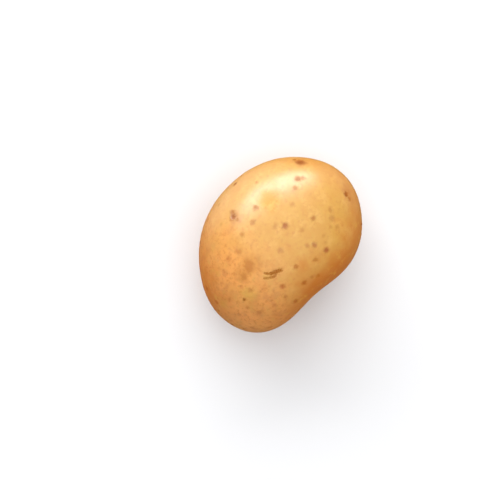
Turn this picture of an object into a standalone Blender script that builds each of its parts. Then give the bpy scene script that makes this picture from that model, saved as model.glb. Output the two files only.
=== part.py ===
"""A whole medium potato of a yellow, waxy kind, lying on its broad flat side.

It grew as one piece, so it is one closed solid. Metres, +Z up. +X runs along the tuber to its broad end, and the
origin is on the surface that it rests on, under the middle of its box.
"""

import math

import bmesh
import bpy
from mathutils import Vector

# Overall size, and how deep the resting spot on the underside is worn flat.
LENGTH = 0.0900
WIDTH = 0.0688
THICKNESS = 0.0580
FLAT_DEPTH = 0.0004

# Proportions of the plain egg that the swells below are added to, before it is brought to size.
EGG_LENGTH = 1.23
EGG_WIDTH = 1.00
EGG_HEIGHT = 0.85

# Swells and hollows of the outline: heading from +X in degrees, half-width in degrees, share of the radius there.
# They are fullest round the middle and fade towards the crown and the belly.
OUTLINE_SWELLS = (
    (251.0, 42.5, 0.230),  # the rounded flank
    (257.0, 21.5, -0.340),  # the waist in the middle of that flank
    (344.0, 21.0, 0.068),  # the shoulder of the broad end
    (141.0, 23.0, -0.040),  # the flatter run on the far side
)

# Swells and hollows above and below the middle: heading and height above the middle in degrees, half-width in degrees,
# share of the radius there.
SIDE_SWELLS = (
    (20.0, 40.0, 28.0, 0.055),  # the broad end stands fuller on top
    (200.0, 45.0, 26.0, 0.035),  # so does the small end's back
    (115.0, 50.0, 24.0, -0.030),  # a shallow dip beside the crown
    (265.0, 38.0, 20.0, 0.030),  # a low rise above the waist
    (320.0, -42.0, 30.0, 0.035),  # the belly is fuller under the broad end
    (150.0, -38.0, 28.0, 0.035),  # and under the far side
    (230.0, -32.0, 20.0, -0.025),  # with a hollow between
)
# All round, the skin is this much fuller half way between the middle and the crown or belly.
FULLNESS = 0.030

# The widest line isn't level: the broad end's tip is carried higher than the small end's, the far flank lower than
# the waisted one, and both tips droop a little.
TIP_RISE = 0.10
FLANK_RISE = -0.06
DROOP = 0.04

# An icosphere divided this often has sides of about 2.4 mm at this size.
SKIN_SUBDIVISIONS = 5

SKIN_COLOUR = (0.62, 0.37, 0.12, 1.0)
SKIN_ROUGHNESS = 0.45


def clear_scene():
    for item in list(bpy.data.objects):
        bpy.data.objects.remove(item)


def heading_vector(heading, height=0.0):
    """The unit vector at a heading from +X and a height above the middle, both in degrees."""
    turn = math.radians(heading)
    rise = math.radians(height)
    return Vector((math.cos(turn) * math.cos(rise), math.sin(turn) * math.cos(rise), math.sin(rise)))


def bell(first, second, half_width):
    """1 where two directions agree, falling off smoothly with the angle between them."""
    angle = math.degrees(first.angle(second))
    return math.exp(-0.5 * (angle / half_width) ** 2)


def outline_share(direction):
    """How far the outline stands out or in, against the plain egg, in the plan direction of this point."""
    plan = Vector((direction.x, direction.y, 0.0))
    if plan.length < 1e-6:
        return 0.0
    fade = plan.length_squared
    swell = sum(share * bell(plan, heading_vector(heading), width) for heading, width, share in OUTLINE_SWELLS)
    return swell * fade


def side_share(direction):
    """How far the skin stands out or in, against the plain egg, above and below the middle."""
    swell = sum(
        share * bell(direction, heading_vector(heading, height), width)
        for heading, height, width, share in SIDE_SWELLS
    )
    square = direction.z**2
    return swell + 4.0 * FULLNESS * square * (1.0 - square)


def lean(direction):
    """How far the widest line, and the skin above and below it, is carried up or down here."""
    return TIP_RISE * direction.x**3 + FLANK_RISE * direction.y**3 - DROOP * direction.x**2


def skin_point(direction):
    """The point of the skin in a direction from the middle, in the egg's own proportions."""
    side = 1.0 + side_share(direction)
    plan = side + outline_share(direction)
    return Vector(
        (
            direction.x * EGG_LENGTH * plan,
            direction.y * EGG_WIDTH * plan,
            direction.z * EGG_HEIGHT * side + lean(direction),
        )
    )


def bring_to_size(mesh):
    """Scales the tuber to its overall size, centres it, and sets its lowest point just under the floor."""
    wanted = Vector((LENGTH, WIDTH, THICKNESS + FLAT_DEPTH))
    low = Vector(min(vert.co[axis] for vert in mesh.verts) for axis in range(3))
    high = Vector(max(vert.co[axis] for vert in mesh.verts) for axis in range(3))
    middle = (low + high) / 2.0
    base = Vector((middle.x, middle.y, low.z))
    for vert in mesh.verts:
        offset = vert.co - base
        vert.co = Vector(offset[axis] * wanted[axis] / (high[axis] - low[axis]) for axis in range(3))
        vert.co.z -= FLAT_DEPTH


def flatten_resting_spot(mesh):
    """Cuts the underside off at the floor and closes it with one flat face."""
    everything = mesh.verts[:] + mesh.edges[:] + mesh.faces[:]
    bmesh.ops.bisect_plane(
        mesh, geom=everything, plane_co=(0.0, 0.0, 0.0), plane_no=(0.0, 0.0, 1.0), clear_inner=True
    )
    rim = [edge for edge in mesh.edges if edge.is_boundary]
    bmesh.ops.contextual_create(mesh, geom=rim)
    bmesh.ops.recalc_face_normals(mesh, faces=mesh.faces)


def skin_material():
    material = bpy.data.materials.new("potato_skin")
    material.use_nodes = True
    shader = material.node_tree.nodes["Principled BSDF"]
    shader.inputs["Base Color"].default_value = SKIN_COLOUR
    shader.inputs["Roughness"].default_value = SKIN_ROUGHNESS
    shader.inputs["Metallic"].default_value = 0.0
    material.diffuse_color = SKIN_COLOUR
    return material


def make_potato():
    shape = bmesh.new()
    bmesh.ops.create_icosphere(shape, subdivisions=SKIN_SUBDIVISIONS, radius=1.0)
    for vert in shape.verts:
        vert.co = skin_point(vert.co.normalized())
    bring_to_size(shape)
    flatten_resting_spot(shape)
    mesh = bpy.data.meshes.new("potato")
    shape.to_mesh(mesh)
    shape.free()
    mesh.shade_smooth()
    mesh.materials.append(skin_material())
    potato = bpy.data.objects.new("potato", mesh)
    bpy.context.scene.collection.objects.link(potato)
    return potato


clear_scene()
make_potato()
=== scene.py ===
# A whole yellow potato: its skin, eyes, lenticels, scars and russet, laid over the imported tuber.
import math
import random

import bmesh
import bpy
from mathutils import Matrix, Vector, noise
from mathutils.bvhtree import BVHTree
from mathutils.kdtree import KDTree


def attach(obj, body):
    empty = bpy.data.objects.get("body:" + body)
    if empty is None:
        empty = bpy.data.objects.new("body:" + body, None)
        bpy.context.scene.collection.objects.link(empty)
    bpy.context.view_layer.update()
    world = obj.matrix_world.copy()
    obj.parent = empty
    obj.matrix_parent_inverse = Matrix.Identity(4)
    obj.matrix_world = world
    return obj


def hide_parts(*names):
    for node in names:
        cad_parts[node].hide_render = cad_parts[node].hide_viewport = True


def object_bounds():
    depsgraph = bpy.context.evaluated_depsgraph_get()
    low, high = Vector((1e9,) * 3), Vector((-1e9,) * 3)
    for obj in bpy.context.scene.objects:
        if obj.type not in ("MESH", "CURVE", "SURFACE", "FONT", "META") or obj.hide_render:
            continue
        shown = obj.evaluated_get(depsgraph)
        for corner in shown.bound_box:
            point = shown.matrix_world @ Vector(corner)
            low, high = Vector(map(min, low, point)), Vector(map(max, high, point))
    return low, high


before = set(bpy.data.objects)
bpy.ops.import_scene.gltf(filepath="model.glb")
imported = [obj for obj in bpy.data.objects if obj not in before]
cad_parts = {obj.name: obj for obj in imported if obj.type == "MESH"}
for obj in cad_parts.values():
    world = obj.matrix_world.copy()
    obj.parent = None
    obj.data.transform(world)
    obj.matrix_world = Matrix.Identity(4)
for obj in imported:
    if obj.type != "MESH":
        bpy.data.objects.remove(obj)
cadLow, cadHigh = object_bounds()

mm = 0.001
up = Vector((0, 0, 1))
roseEnd = Vector((1, 0, 0))  # the broad end; the stalk was at the other
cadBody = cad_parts["potato"]
print("frame loaded")


def smoothStep(low, high, value):
    t = min(1.0, max(0.0, (value - low) / (high - low)))
    return t * t * (3 - 2 * t)


def bell(distance, halfWidth):
    return math.exp(-0.5 * (distance / halfWidth) ** 2)


def heading(turn, rise=0.0):
    # unit vector from a turn off +X and a rise off the level, in degrees
    turn, rise = math.radians(turn), math.radians(rise)
    return Vector((math.cos(turn) * math.cos(rise), math.sin(turn) * math.cos(rise), math.sin(rise)))


# The bare tuber: a cube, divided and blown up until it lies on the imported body.
tuber = {
    "cells": 100,  # along each side of the starting cube
    "spread": Vector((1.0, 0.80, 0.68)),  # evens out the cells on a long, flattened body
    "smoothing": 26,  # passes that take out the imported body's facets
    "weld": 0.01,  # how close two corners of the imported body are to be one, in millimetres
}


def cadTree():
    shell = bmesh.new()
    shell.from_mesh(cadBody.data)
    bmesh.ops.remove_doubles(shell, verts=shell.verts, dist=tuber["weld"] * mm)
    tree = BVHTree.FromBMesh(shell)
    shell.free()
    return tree


def bareTuber():
    tree = cadTree()
    ball = bmesh.new()
    bmesh.ops.create_cube(ball, size=2)
    bmesh.ops.subdivide_edges(ball, edges=ball.edges, cuts=tuber["cells"] - 1, use_grid_fill=True)
    centre = (cadLow + cadHigh) / 2
    for vert in ball.verts:
        even = Vector(math.tan(side * math.pi / 4) for side in vert.co)
        outward = (even.normalized() * tuber["spread"]).normalized()
        vert.co = tree.ray_cast(centre, outward)[0]
    for _ in range(tuber["smoothing"]):
        bmesh.ops.smooth_vert(ball, verts=ball.verts, factor=0.5,
                              use_axis_x=True, use_axis_y=True, use_axis_z=True)
    ball.normal_update()
    return ball


skin = bareTuber()
skinTree = BVHTree.FromBMesh(skin)
print("tuber wrapped:", len(skin.verts), "points")


# The marks on the crown: each one's place along and across the tuber and its radius, in millimetres,
# and its strength.
marks = {
    "brown": [
        (35.4, 13.8, 2.1, 0.9), (-2.2, 24.2, 1.4, 0.75), (-3.8, 22.7, 1.5, 0.85),
        (28.2, 9.9, 1.4, 1.0), (29.8, 8.4, 1.2, 0.7), (24.2, 8.3, 1.2, 0.7),
        (9.2, 31.6, 1.2, 1.0), (15.5, 23.9, 1.0, 0.5), (-3.1, 31.7, 0.9, 0.45),
        (5.9, 17.2, 1.4, 0.8), (18.2, -6.6, 1.15, 0.85), (26.3, -10.7, 1.2, 0.45),
        (22.1, -17.8, 1.1, 0.4), (20.2, -15.5, 0.8, 0.3), (10.8, -5.7, 1.0, 0.4),
        (-7.6, 14.4, 1.05, 0.55), (36.9, -12.2, 1.2, 0.95), (36.2, -14.7, 1.1, 0.6),
        (13.1, -18.0, 0.9, 0.3), (4.0, -19.0, 1.1, 0.7), (-14.6, 10.5, 1.3, 0.5),
        (-20.0, 12.5, 1.3, 0.5), (-4.1, -13.7, 1.1, 0.8), (-0.9, -24.5, 0.9, 0.4),
        (-7.4, -21.4, 1.15, 0.75), (-14.8, -14.6, 1.15, 0.9), (-26.6, -0.2, 1.0, 0.4),
        (-25.2, -4.4, 1.1, 0.55), (-32.5, -8.3, 1.0, 0.4), (-16.5, -23.8, 1.3, 0.75),
        (-17.7, -18.6, 1.0, 0.5), (-21.0, -8.8, 1.0, 0.3), (-23.8, -17.2, 0.9, 0.35),
        (-39.9, 4.4, 1.2, 0.7), (-30.9, -13.9, 1.2, 0.5), (-39.2, -16.3, 1.2, 0.55),
        (-33.8, -22.7, 1.1, 0.45), (-31.5, 8.0, 0.9, 0.3), (-21.1, 17.3, 0.9, 0.3),
        (-10.0, 24.8, 0.9, 0.25), (-3.2, -22.7, 0.9, 0.4), (14.9, -15.4, 0.9, 0.3),
    ],
    "red": [
        (7.5, 1.5, 1.5, 1.0), (4.8, 4.8, 1.3, 0.4), (-0.2, 14.0, 1.3, 0.6),
        (8.9, -14.4, 1.3, 0.8), (6.6, -12.1, 1.1, 0.5), (10.6, -20.3, 1.25, 1.0),
        (-2.5, -3.8, 1.3, 0.55), (23.7, -13.5, 1.4, 0.5), (17.1, 4.9, 1.2, 0.3),
    ],
    "smudge": [
        (-16.8, 3.0, 3.2, 1.0), (-22.1, 3.4, 2.8, 0.9), (-19.0, 3.0, 2.4, 0.5),
        (-13.5, 1.0, 3.5, 0.45), (38.7, -11.8, 3.0, 0.9), (37.0, -14.8, 2.2, 0.6),
        (35.6, 13.7, 2.7, 1.0), (-3.4, 21.6, 2.6, 0.55), (-35.5, 1.5, 4.0, 0.4),
        (-29.0, -9.5, 3.0, 0.3),
    ],
    "straw": [
        (-26.7, -5.2, 3.2, 0.7), (-15.6, -6.4, 1.8, 0.5), (-38.4, 1.5, 2.2, 0.4),
    ],
    "cork": [
        (-30.5, -4.8, 0.8, 1.0), (9.4, 31.8, 0.6, 0.5), (36.6, -12.6, 0.6, 0.5),
        (34.9, 16.6, 0.8, 0.9), (35.5, 13.9, 1.4, 0.4), (-3.5, 20.4, 0.9, 0.45),
    ],
    "dull": [
        (12.8, 14.6, 4.6, 0.7), (-16.8, 3.0, 5.0, 0.3),
    ],
}
# A scratch that healed over with cork, in four strokes: each one's places, its half-width and its strength.
scratches = [
    ([(-15.1, -4.6), (-14.4, -5.8), (-13.3, -6.9)], 0.70, 0.9),
    ([(-13.6, -6.8), (-12.0, -7.8), (-9.7, -9.2)], 1.15, 0.95),
    ([(-14.4, -8.4), (-13.2, -8.9), (-12.2, -8.6)], 0.80, 0.75),
    ([(-17.0, -5.9), (-15.8, -7.3), (-14.3, -8.3)], 0.75, 0.7),
]
# The crown's eyes: the place, the width, the depth and the strength of the stain.
eyes = [
    (Vector((-3.0, 22.6)), 5.0, 0.15, 1.0),
    (Vector((35.2, 14.4)), 5.0, 0.30, 0.6),
    (Vector((37.0, -12.4)), 6.0, 0.22, 0.5),
]
# A corky nub on the rim, and the corky dimple where the stalk came away.
nub = {"place": Vector((30.9, -26.6, 36.3)), "radius": 0.75, "height": 0.55}
stalk = {"turn": 195, "rise": -18, "radius": 2.6, "depth": 0.9, "stub": 0.55, "lip": 0.12}
# What the sides and the belly get, by chance.
hidden = {
    "seed": 7,
    "marks": 150,
    "apart": 4.0,
    "radii": (0.6, 1.2),
    "strengths": (0.4, 0.55, 0.75, 1.0),
    "redShare": 0.25,
    "eyes": 9,
    "eyeRadii": (2.2, 3.3),
    "eyeDepths": (0.3, 0.55),
    "spiral": 137.5,  # degrees from one bud to the next
}


def onCrown(x, y):
    # the point of the skin under a place on the plan, and the way it faces
    hit = skinTree.ray_cast(Vector((x * mm, y * mm, 1)), -up)
    return hit[0], hit[1]


def onward(toward):
    # the point of the skin in a direction from the tuber's middle, and the way it faces
    hit = skinTree.ray_cast((cadLow + cadHigh) / 2, toward)
    return hit[0], hit[1]


# Each spot becomes a place, a radius, a strength and a kind. An eye also keeps the way it faces.
spots = []
for kind, rows in marks.items():
    for x, y, radius, strength in rows:
        spots.append((onCrown(x, y)[0], radius * mm, strength, kind))
sockets = []
for place, width, depth, strength in eyes:
    sockets.append((*onCrown(*place), width * mm / 2, depth * mm, strength))
strokes = []
for line, halfWidth, strength in scratches:
    strokes.append(([onCrown(x, y)[0] for x, y in line], halfWidth * mm, strength))
stalkPlace = onward(heading(stalk["turn"], stalk["rise"]))[0]
nubPlace = skinTree.find_nearest(nub["place"] * mm)[0]


def scatterHidden():
    # the flanks and the belly, out of sight from above, get their share of marks too
    pick = random.Random(hidden["seed"])
    added = 0
    for bud in range(hidden["eyes"]):
        # buds wind round the tuber in a spiral, from the rose end to the stalk
        along = 1 - 2 * (bud + 0.35) / hidden["eyes"]
        roll = math.radians(hidden["spiral"] * bud + 40)
        ring = math.sqrt(1 - along * along)
        place, facing = onward(Vector((along, ring * math.cos(roll), ring * math.sin(roll))))
        if facing.z < 0.25:
            radius = pick.uniform(*hidden["eyeRadii"]) * mm
            depth = pick.uniform(*hidden["eyeDepths"]) * mm
            sockets.append((place, facing, radius, depth, 1.0))
    while added < hidden["marks"]:
        toward = Vector((pick.gauss(0, 1), pick.gauss(0, 1), pick.gauss(-0.2, 1))).normalized()
        place, facing = onward(toward)
        near = min((place - other[0]).length for other in spots)
        if facing.z > 0.35 or near < hidden["apart"] * mm * pick.uniform(0.5, 1.2):
            continue
        kind = "red" if pick.random() < hidden["redShare"] else "brown"
        radius = pick.uniform(*hidden["radii"]) * mm
        spots.append((place, radius, pick.choice(hidden["strengths"]), kind))
        added += 1


scatterHidden()
print("marks placed:", len(spots), "spots and", len(sockets), "eyes")


# Finer cells where a mark needs them.
def refine(regions):
    seen = KDTree(len(skin.verts))
    for index, vert in enumerate(skin.verts):
        seen.insert(vert.co, index)
    seen.balance()
    skin.verts.ensure_lookup_table()
    close = set()
    for place, reach in regions:
        close.update(index for _, index, _ in seen.find_range(place, reach))
    edges = [edge for edge in skin.edges if all(vert.index in close for vert in edge.verts)]
    bmesh.ops.subdivide_edges(skin, edges=edges, cuts=1, use_grid_fill=True)
    skin.normal_update()
    skin.verts.index_update()


def aroundEyes(reach):
    return [(place, reach * radius) for place, _, radius, _, _ in sockets]


def aroundScratches(reach):
    return [(point, reach * mm) for line, _, _ in strokes for point in line]


skin.verts.index_update()
refine([(stalkPlace, 1.4 * stalk["radius"] * mm), (nubPlace, 2 * nub["radius"] * mm)])
refine([(place, 1.5 * radius) for place, radius, _, _ in spots] + aroundEyes(1.1) + aroundScratches(1.6))
refine(aroundEyes(0.6) + aroundScratches(1.3) + [(nubPlace, 1.5 * nub["radius"] * mm)])
print("cells refined:", sum(len(face.verts) - 2 for face in skin.faces), "triangles")


# Each point's place, the way it faces, how far it rises, and how much of each stain it has.
skin.verts.ensure_lookup_table()
places = [vert.co.copy() for vert in skin.verts]
facings = [vert.normal.copy() for vert in skin.verts]
rise = [0.0] * len(places)
stainNames = ("brown", "red", "smudge", "straw", "cork", "dull", "socket", "russetAndPaintedLight", "paintedSideShade")
stains = {name: [0.0] * len(places) for name in stainNames}
finder = KDTree(len(places))
for index, place in enumerate(places):
    finder.insert(place, index)
finder.balance()


def stain(name, index, amount):
    stains[name][index] = max(stains[name][index], amount)


# Heights and depths in millimetres.
relief = {
    # wavelength and height of the skin's own unevenness
    "waves": [(26.0, 0.30), (11.0, 0.11), (4.5, 0.035), (1.9, 0.012)],
    "ringRise": 0.030,  # the rim round a spot
    "pitDepth": 0.055,
    "scratchDepth": 0.10,
}
# Where the painted side shade falls: the heading and the width of each stretch in degrees, then how much
# each counts.
sides = {
    "hollow": (-92, 54),
    "tip": (-160, 17),
    "stern": (168, 24),
    "everywhere": 0.22,
    "hollowShare": 0.78,
    "sternShare": 0.70,
    "tipLoss": 0.85,
}


def layWaves():
    for index, place in enumerate(places):
        for wavelength, height in relief["waves"]:
            rise[index] += height * mm * noise.noise(place / (wavelength * mm))


def layRussetAndPaintedLight():
    # the stalk's end and the belly are rougher and browner, and the belly has lost its shine; the same mask
    # lays a painted warm light, a lighter orange that brightens the shaded stalk end and belly
    for index, place in enumerate(places):
        toStalk = smoothStep(4 * mm, -34 * mm, place.x + 6 * mm * noise.noise(place / (14 * mm)))
        toBelly = smoothStep(22 * mm, 2 * mm, place.z)
        cloud = 0.5 + 0.5 * noise.noise(place / (7 * mm) + Vector((5, 1, 2)))
        stain("dull", index, smoothStep(0.05, -0.45, facings[index].z))
        stain("russetAndPaintedLight", index, min(1.0, (0.75 * toStalk + 0.35 * toBelly) * (0.55 + 0.7 * cloud)))


def sideStretch(place, turn, halfWidth):
    # 1 in the middle of a stretch of the tuber's side, and less away from it
    offset = math.degrees(math.atan2(place.y, place.x)) - turn
    return bell((offset + 180) % 360 - 180, halfWidth)


def layPaintedSideShade():
    # painted shade: the sides are a deeper, darker orange than the crown, standing in for the shade round
    # the rim: most along the hollow side and the stern, least at the small tip
    for index, place in enumerate(places):
        hollow = sideStretch(place, *sides["hollow"])
        tip = sideStretch(place, *sides["tip"])
        stern = sideStretch(place, *sides["stern"])
        ragged = 0.10 * noise.noise(place / (12 * mm)) + 0.09 * noise.noise(place / (4.5 * mm))
        steepness = facings[index].z + ragged
        amount = smoothStep(0.80 + 0.26 * hollow, 0.28 + 0.34 * hollow, steepness)
        amount *= 0.35 + 0.65 * smoothStep(-0.75, 0.15, facings[index].z + 2 * ragged)
        amount *= sides["everywhere"] + sides["hollowShare"] * hollow + sides["sternShare"] * stern
        stain("paintedSideShade", index, amount * (1 - sides["tipLoss"] * tip))


def stampSpot(place, radius, strength, kind):
    soft = kind in ("smudge", "straw", "dull")
    for point, index, distance in finder.find_range(place, 2.2 * radius):
        wobble = 1 + 0.35 * noise.noise(point / (0.8 * radius))
        r = distance * wobble / radius
        stain(kind, index, strength * smoothStep(1.8 if soft else 1.7, 0.3, r))
        if not soft:
            ring = relief["ringRise"] * bell(r - 0.95, 0.25)
            pit = relief["pitDepth"] * bell(r, 0.45)
            rise[index] += strength * (ring - pit) * mm


def stampEye(place, facing, radius, depth, strength):
    along = (roseEnd - facing * roseEnd.dot(facing)).normalized()
    across = facing.cross(along)
    for point, index, _ in finder.find_range(place, 2.2 * radius):
        offset = point - place
        wobble = 1 + 0.18 * noise.noise(point / (0.7 * radius))
        u, v = offset.dot(along) / radius * wobble, offset.dot(across) / radius * wobble
        r = math.hypot(u, v)
        fromBrow = abs(math.atan2(v, -u))
        onBrow = smoothStep(1.5, 0.7, fromBrow)
        dish = bell(math.hypot(1.25 * u, v), 0.50)
        brow = bell(r - 0.80, 0.13) * onBrow
        crease = bell(r - 0.62, 0.09) * onBrow
        buds = bell(math.hypot(u + 0.05, v), 0.13) + 0.6 * bell(math.hypot(u - 0.12, abs(v) - 0.26), 0.10)
        rise[index] += depth * (0.45 * brow - dish - 0.30 * crease + 0.55 * buds)
        stain("socket", index, strength * 0.8 * dish)
        stain("cork", index, strength * 0.65 * crease * (0.6 + 0.4 * noise.noise(point / (0.5 * mm))))
        stain("smudge", index, strength * 0.5 * buds)


def stampScratch(line, halfWidth, strength):
    for start, end in zip(line, line[1:]):
        run = end - start
        for point, index, _ in finder.find_range((start + end) / 2, run.length / 2 + 2.5 * halfWidth):
            share = min(1.0, max(0.0, (point - start).dot(run) / run.length_squared))
            wobble = 1 + 0.5 * noise.noise(point / (0.6 * mm))
            r = (point - start - run * share).length * wobble / halfWidth
            amount = strength * smoothStep(1.3, 0.35, r)
            if amount > stains["cork"][index]:
                rise[index] -= relief["scratchDepth"] * mm * (amount - stains["cork"][index])
            stain("cork", index, amount)


def stampNub():
    radius = nub["radius"] * mm
    for _, index, distance in finder.find_range(nubPlace, 3 * radius):
        rise[index] += nub["height"] * mm * bell(distance / radius, 0.5)
        stain("cork", index, smoothStep(1.5, 0.6, distance / radius))


def stampStalk():
    radius = stalk["radius"] * mm
    for point, index, distance in finder.find_range(stalkPlace, 3 * radius):
        r = distance / radius * (1 + 0.22 * noise.noise(point / (1.5 * mm)))
        rise[index] -= mm * (stalk["depth"] * bell(r, 0.55) - stalk["stub"] * bell(r, 0.20))
        rise[index] += stalk["lip"] * mm * bell(r - 1.05, 0.16)
        stain("cork", index, 0.8 * bell(r - 0.45, 0.16) + 0.35 * bell(r - 0.95, 0.12))
        stain("socket", index, smoothStep(1.5, 0.5, r))
        stain("russetAndPaintedLight", index, smoothStep(3.0, 0.8, r))


layWaves()
layRussetAndPaintedLight()
layPaintedSideShade()
for spot in spots:
    stampSpot(*spot)
for socket in sockets:
    stampEye(*socket)
for stroke in strokes:
    stampScratch(*stroke)
stampNub()
stampStalk()

for index, vert in enumerate(skin.verts):
    vert.co = places[index] + facings[index] * rise[index]
    vert.co.z = max(vert.co.z, cadLow.z)
for name, amounts in stains.items():
    layer = skin.verts.layers.float.new(name)
    for index, vert in enumerate(skin.verts):
        vert[layer] = amounts[index]
print("relief and stains laid")


# The skin's material.
skinLook = {
    "golden": (0.628, 0.320, 0.038),
    "amber": (0.600, 0.272, 0.030),
    "straw": (0.690, 0.372, 0.066),
    # painted side shade: a darker orange that stands in for the shade on the sides
    "paintedSideShade": (0.500, 0.142, 0.010),
    # painted warm light: a lighter orange that stands in for light at the shaded stalk end and belly
    "paintedWarmLight": (0.850, 0.322, 0.056),
    "rust": (0.480, 0.150, 0.020),
    "rot": (0.370, 0.134, 0.020),
    "brown": (0.580, 0.410, 0.450),  # brown and red darken what lies under them
    "red": (0.590, 0.430, 0.900),
    "smudge": (0.470, 0.155, 0.006),
    "cork": (0.270, 0.084, 0.006),
    "strawPatch": (0.680, 0.400, 0.040),
    "roughness": 0.46,
    "waxRoughness": 0.40,
    "waxIor": 2.3,
    "bodyIor": 1.45,
    "bodySpecular": 0.2,
    "softness": 0.12,  # how much of the light goes under the skin, and how far in millimetres
    "softnessDepth": 1.2,
    "softnessTint": (1.0, 0.5, 0.2),
    "grainScale": 2300,
    "grainHeight": 0.030,
    "grainStrength": 0.6,
}
# The speckling of the skin: how fine it is, and the noise at which it starts and is full.
speckles = {
    "amberClouds": (55, 0.40, 0.66),
    "strawFlecks": (190, 0.46, 0.66),
    "amberFlecks": (560, 0.48, 0.64),
    "goldenFlecks": (300, 0.52, 0.72),
    "rustFlecks": (430, 0.55, 0.72),
    "russetStipple": (560, 0.50, 0.68),
    "russetPatches": (240, 0.46, 0.68),
    "dullClouds": (120, 0.35, 0.70),
}
# How fine the torn edge of each stain is, and how deep it is torn.
tears = {
    "straw": (700, 0.9),
    "smudge": (330, 2.4),
    "socket": (800, 0.6),
    "brown": (1500, 0.7),
    "red": (1500, 0.7),
    "cork": (1800, 1.2),
}


def newGroup(name, sockets):
    # a node group that gives one mask, with its two end nodes
    group = bpy.data.node_groups.new(name, "ShaderNodeTree")
    for label, kind in sockets:
        group.interface.new_socket(name=label, in_out="INPUT", socket_type=kind)
    group.interface.new_socket(name="Mask", in_out="OUTPUT", socket_type="NodeSocketFloat")
    start = group.nodes.new("NodeGroupInput")
    end = group.nodes.new("NodeGroupOutput")
    return group, start.outputs, end.inputs


def combine(tree, operation, first, second, clamp=True):
    # a Math node, fed by numbers or by other nodes
    node = tree.nodes.new("ShaderNodeMath")
    node.operation = operation
    node.use_clamp = clamp
    for socket, value in zip(node.inputs, (first, second)):
        if isinstance(value, (int, float)):
            socket.default_value = value
        else:
            tree.links.new(value, socket)
    return node.outputs[0]


def speckleGroup():
    # a soft cloudy mask
    group, given, wanted = newGroup("skinSpeckle", (
        ("Vector", "NodeSocketVector"), ("Scale", "NodeSocketFloat"),
        ("Low", "NodeSocketFloat"), ("High", "NodeSocketFloat"),
    ))
    cloud = group.nodes.new("ShaderNodeTexNoise")
    cloud.inputs["Detail"].default_value = 4
    cloud.inputs["Roughness"].default_value = 0.6
    trim = group.nodes.new("ShaderNodeMapRange")
    trim.interpolation_type = "SMOOTHSTEP"
    group.links.new(given["Vector"], cloud.inputs["Vector"])
    group.links.new(given["Scale"], cloud.inputs["Scale"])
    group.links.new(cloud.outputs["Fac"], trim.inputs["Value"])
    group.links.new(given["Low"], trim.inputs["From Min"])
    group.links.new(given["High"], trim.inputs["From Max"])
    group.links.new(trim.outputs["Result"], wanted["Mask"])
    return group


def tornGroup():
    # gives a smooth stain a torn edge, finer than the mesh can hold
    group, given, wanted = newGroup("tornEdge", (
        ("Vector", "NodeSocketVector"), ("Stain", "NodeSocketFloat"),
        ("Scale", "NodeSocketFloat"), ("Tear", "NodeSocketFloat"),
    ))
    cloud = group.nodes.new("ShaderNodeTexNoise")
    cloud.inputs["Detail"].default_value = 3
    group.links.new(given["Vector"], cloud.inputs["Vector"])
    group.links.new(given["Scale"], cloud.inputs["Scale"])
    tear = combine(group, "SUBTRACT", cloud.outputs["Fac"], 0.5, clamp=False)
    tear = combine(group, "MULTIPLY", tear, given["Tear"], clamp=False)
    tear = combine(group, "MULTIPLY", tear, given["Stain"], clamp=False)
    group.links.new(combine(group, "ADD", tear, given["Stain"]), wanted["Mask"])
    return group


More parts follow.
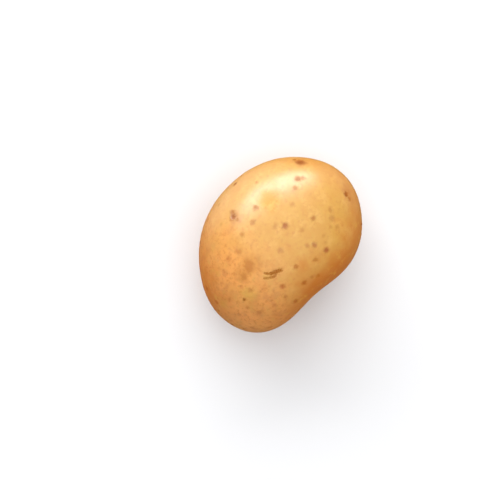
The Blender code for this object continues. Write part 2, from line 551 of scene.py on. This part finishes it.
def skinMaterial():
    material = bpy.data.materials.new("yellowPotatoSkin")
    material.use_nodes = True
    tree = material.node_tree
    nodes, links = tree.nodes, tree.links
    shader = nodes["Principled BSDF"]
    where = nodes.new("ShaderNodeTexCoord").outputs["Object"]
    speckle, torn = speckleGroup(), tornGroup()

    def placed(group, values):
        # one use of a group, with its own values
        node = nodes.new("ShaderNodeGroup")
        node.node_tree = group
        links.new(where, node.inputs["Vector"])
        for label, value in values.items():
            node.inputs[label].default_value = value
        return node

    def speckled(name):
        scale, low, high = speckles[name]
        return placed(speckle, {"Scale": scale, "Low": low, "High": high}).outputs["Mask"]

    def stainOf(name):
        node = nodes.new("ShaderNodeAttribute")
        node.attribute_name = name
        return node.outputs["Fac"]

    def tornStain(name):
        scale, depth = tears[name]
        node = placed(torn, {"Scale": scale, "Tear": depth})
        links.new(stainOf(name), node.inputs["Stain"])
        return node.outputs["Mask"]

    def times(first, second):
        return combine(tree, "MULTIPLY", first, second)

    def plus(first, second):
        return combine(tree, "ADD", first, second)

    def larger(first, second):
        return combine(tree, "MAXIMUM", first, second)

    def without(mask, share):
        return combine(tree, "SUBTRACT", 1.0, times(mask, share))

    def over(under, name, mask, blend="MIX"):
        # lays one of the skin's colours over what is there
        node = nodes.new("ShaderNodeMix")
        node.data_type = "RGBA"
        node.blend_type = blend
        if isinstance(under, tuple):
            node.inputs["A"].default_value = (*under, 1)
        else:
            links.new(under, node.inputs["A"])
        node.inputs["B"].default_value = (*skinLook[name], 1)
        links.new(mask, node.inputs["Factor"])
        return node.outputs["Result"]

    russetAndPaintedLight, paintedSideShade = stainOf("russetAndPaintedLight"), stainOf("paintedSideShade")
    brown, red, cork = tornStain("brown"), tornStain("red"), tornStain("cork")
    stipple = times(speckled("russetStipple"), russetAndPaintedLight)
    colour = over(skinLook["golden"], "amber", times(speckled("amberClouds"), 0.8))
    colour = over(colour, "straw", times(speckled("strawFlecks"), 0.8))
    colour = over(colour, "amber", times(speckled("amberFlecks"), 0.9))
    # painted warm light at the stalk end and belly, laid with the real russet
    colour = over(colour, "paintedWarmLight", times(russetAndPaintedLight, 1.15))
    # painted shade on the sides
    colour = over(colour, "paintedSideShade", paintedSideShade)
    colour = over(colour, "golden", times(speckled("goldenFlecks"), 0.5))
    colour = over(colour, "rust", times(speckled("rustFlecks"), 0.32))
    colour = over(colour, "rust", times(times(speckled("russetPatches"), russetAndPaintedLight), 0.65))
    colour = over(colour, "rust", times(stipple, 0.7))
    colour = over(colour, "strawPatch", times(tornStain("straw"), 0.7))
    colour = over(colour, "smudge", times(tornStain("smudge"), 0.85))
    colour = over(colour, "rot", times(tornStain("socket"), 0.45))
    colour = over(colour, "brown", brown, "MULTIPLY")
    colour = over(colour, "red", red, "MULTIPLY")
    colour = over(colour, "cork", times(cork, 0.95))
    links.new(colour, shader.inputs["Base Color"])

    rough = plus(skinLook["roughness"], times(speckled("dullClouds"), 0.07))
    rough = plus(rough, times(russetAndPaintedLight, 0.10))
    rough = plus(rough, times(paintedSideShade, 0.25))
    rough = plus(rough, times(larger(brown, cork), 0.2))
    links.new(rough, shader.inputs["Roughness"])

    # a thin wax, gone from the sides, the belly and the blemishes
    blemished = larger(times(larger(brown, red), 0.7), larger(cork, stainOf("dull")))
    wax = without(plus(paintedSideShade, blemished), 0.95)
    links.new(times(wax, without(stipple, 0.4)), shader.inputs["Coat Weight"])
    shader.inputs["Coat Roughness"].default_value = skinLook["waxRoughness"]
    shader.inputs["Coat IOR"].default_value = skinLook["waxIor"]
    shader.inputs["IOR"].default_value = skinLook["bodyIor"]
    shader.inputs["Specular IOR Level"].default_value = skinLook["bodySpecular"]
    shader.inputs["Subsurface Weight"].default_value = skinLook["softness"]
    shader.inputs["Subsurface Radius"].default_value = skinLook["softnessTint"]
    shader.inputs["Subsurface Scale"].default_value = skinLook["softnessDepth"] * mm

    grain = nodes.new("ShaderNodeTexNoise")
    grain.inputs["Scale"].default_value = skinLook["grainScale"]
    grain.inputs["Detail"].default_value = 4
    links.new(where, grain.inputs["Vector"])
    bump = nodes.new("ShaderNodeBump")
    bump.inputs["Strength"].default_value = skinLook["grainStrength"]
    bump.inputs["Distance"].default_value = skinLook["grainHeight"] * mm
    links.new(grain.outputs["Fac"], bump.inputs["Height"])
    links.new(bump.outputs["Normal"], shader.inputs["Normal"])
    return material


mesh = bpy.data.meshes.new("potatoTuber")
skin.to_mesh(mesh)
skin.free()
mesh.shade_smooth()
potatoTuber = bpy.data.objects.new("potatoTuber", mesh)
bpy.context.scene.collection.objects.link(potatoTuber)
mesh.materials.append(skinMaterial())
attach(potatoTuber, "root")
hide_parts("potato")
print("skin finished")


# The table, the light and the camera.
studio = {
    "floorSize": 6.0,
    "floorColour": (0.70, 0.695, 0.70),
    "floorRoughness": 0.9,
    "floorSpecular": 0.1,
    "fade": (0.35, 1.1),  # from the middle, where the table starts to thin out and where it is gone
    # each lamp's turn round from +X, its rise, its distance, its width and height, its power,
    # and whether the skin mirrors it
    "lamps": {
        "windowBox": (52, 29, 2.2, (3.3, 1.15), 55, True),
        "overheadBox": (10, 78, 2.2, (4.0, 4.0), 69, False),
    },
    "lampColour": (0.985, 0.99, 1.0),
    "roomColour": (0.95, 0.98, 1.0),
    "roomLight": 0.52,  # what the walls throw on the tuber
    "wallTone": 1.0,  # how pale the walls look past the table's edge
    # what the skin mirrors of the room: dim and warm round about, pale overhead
    "sheenLow": (0.16, 0.10, 0.055),
    "sheenHigh": (0.20, 0.21, 0.22),
    "sheenStart": 0.35,  # where it starts to turn pale, from 0 on the level to 1 overhead
    # and brighter where the room is open: turn, rise, glow
    "openings": {
        "left": (80, -24, (1.0, 0.96, 0.92)),
        "right": (-12, -18, (0.62, 0.58, 0.54)),
    },
    "openingEdge": 0.74,  # the cosine at which an opening starts to show; 1 would leave only a point
}


def makeFloor():
    ground = bmesh.new()
    bmesh.ops.create_grid(ground, x_segments=1, y_segments=1, size=studio["floorSize"] / 2)
    floorMesh = bpy.data.meshes.new("table")
    ground.to_mesh(floorMesh)
    ground.free()
    table = bpy.data.objects.new("table", floorMesh)
    bpy.context.scene.collection.objects.link(table)
    paint = bpy.data.materials.new("tableTop")
    paint.use_nodes = True
    shader = paint.node_tree.nodes["Principled BSDF"]
    shader.inputs["Base Color"].default_value = (*studio["floorColour"], 1)
    shader.inputs["Roughness"].default_value = studio["floorRoughness"]
    shader.inputs["Specular IOR Level"].default_value = studio["floorSpecular"]
    # the far table thins out into the wall, so no edge shows from low down
    nodes, links = paint.node_tree.nodes, paint.node_tree.links
    reach = nodes.new("ShaderNodeVectorMath")
    reach.operation = "LENGTH"
    links.new(nodes.new("ShaderNodeTexCoord").outputs["Object"], reach.inputs[0])
    fade = nodes.new("ShaderNodeMapRange")
    fade.interpolation_type = "SMOOTHSTEP"
    for name, value in zip(("From Min", "From Max", "To Min", "To Max"), (*studio["fade"], 1.0, 0.0)):
        fade.inputs[name].default_value = value
    links.new(reach.outputs["Value"], fade.inputs["Value"])
    links.new(fade.outputs["Result"], shader.inputs["Alpha"])
    floorMesh.materials.append(paint)
    table.visible_glossy = False  # or the white table would wash out the tuber's sides


def makeLamp(name, turn, rise, distance, size, power, mirrored):
    lamp = bpy.data.lights.new(name, "AREA")
    lamp.shape = "RECTANGLE"
    lamp.size, lamp.size_y = size
    lamp.energy = power
    lamp.color = studio["lampColour"]
    softbox = bpy.data.objects.new(name, lamp)
    softbox.visible_glossy = mirrored
    toward = heading(turn, rise)
    softbox.location = toward * distance
    softbox.rotation_mode = "QUATERNION"
    softbox.rotation_quaternion = toward.to_track_quat("Z", "Y")
    bpy.context.scene.collection.objects.link(softbox)


def makeRoom():
    room = bpy.data.worlds.new("paleRoom")
    room.use_nodes = True
    nodes, links = room.node_tree.nodes, room.node_tree.links
    seen = nodes.new("ShaderNodeLightPath")
    look = nodes.new("ShaderNodeTexCoord").outputs["Generated"]
    toward = nodes.new("ShaderNodeSeparateXYZ")
    links.new(look, toward.inputs[0])
    sheen = nodes.new("ShaderNodeMix")
    sheen.data_type = "RGBA"
    sheen.inputs["A"].default_value = (*studio["sheenLow"], 1)
    sheen.inputs["B"].default_value = (*studio["sheenHigh"], 1)
    climb = nodes.new("ShaderNodeMapRange")
    climb.interpolation_type = "SMOOTHSTEP"
    climb.inputs["From Min"].default_value = studio["sheenStart"]
    links.new(toward.outputs["Z"], climb.inputs["Value"])
    links.new(climb.outputs["Result"], sheen.inputs["Factor"])
    mirrored = sheen.outputs["Result"]
    for turn, rise, glow in studio["openings"].values():
        facing = nodes.new("ShaderNodeVectorMath")
        facing.operation = "DOT_PRODUCT"
        facing.inputs[1].default_value = heading(turn, rise)
        links.new(look, facing.inputs[0])
        window = nodes.new("ShaderNodeMapRange")
        window.interpolation_type = "SMOOTHSTEP"
        window.inputs["From Min"].default_value = studio["openingEdge"]
        links.new(facing.outputs["Value"], window.inputs["Value"])
        opened = nodes.new("ShaderNodeMix")
        opened.data_type = "RGBA"
        opened.inputs["B"].default_value = (*glow, 1)
        links.new(window.outputs["Result"], opened.inputs["Factor"])
        links.new(mirrored, opened.inputs["A"])
        mirrored = opened.outputs["Result"]
    # the room as it lights, as the skin mirrors it, and as it is seen
    layers = (
        ((*studio["roomColour"], 1), studio["roomLight"], None),
        (mirrored, 1.0, "Is Glossy Ray"),
        ((1, 1, 1, 1), studio["wallTone"], "Is Camera Ray"),
    )
    last = None
    for tint, strength, ray in layers:
        glow = nodes.new("ShaderNodeBackground")
        if isinstance(tint, tuple):
            glow.inputs["Color"].default_value = tint
        else:
            links.new(tint, glow.inputs["Color"])
        glow.inputs["Strength"].default_value = strength
        if last is None:
            last = glow
            continue
        mix = nodes.new("ShaderNodeMixShader")
        links.new(seen.outputs[ray], mix.inputs[0])
        links.new(last.outputs[0], mix.inputs[1])
        links.new(glow.outputs[0], mix.inputs[2])
        last = mix
    links.new(last.outputs[0], nodes["World Output"].inputs["Surface"])
    bpy.context.scene.world = room


camera = {
    "lens": 90,
    "height": 601,  # millimetres over the table
    "along": -10.1,
    "across": 13.6,
    "roll": -52,  # degrees
}


def makeCamera():
    eye = bpy.data.cameras.new("overhead")
    eye.lens = camera["lens"]
    holder = bpy.data.objects.new("overhead", eye)
    holder.location = Vector((camera["along"], camera["across"], camera["height"])) * mm
    holder.rotation_euler = (0, 0, math.radians(camera["roll"]))
    bpy.context.scene.collection.objects.link(holder)
    bpy.context.scene.camera = holder
    bpy.context.scene.view_settings.view_transform = "Standard"


makeFloor()
for name, settings in studio["lamps"].items():
    makeLamp(name, *settings)
makeRoom()
makeCamera()
print("studio set")
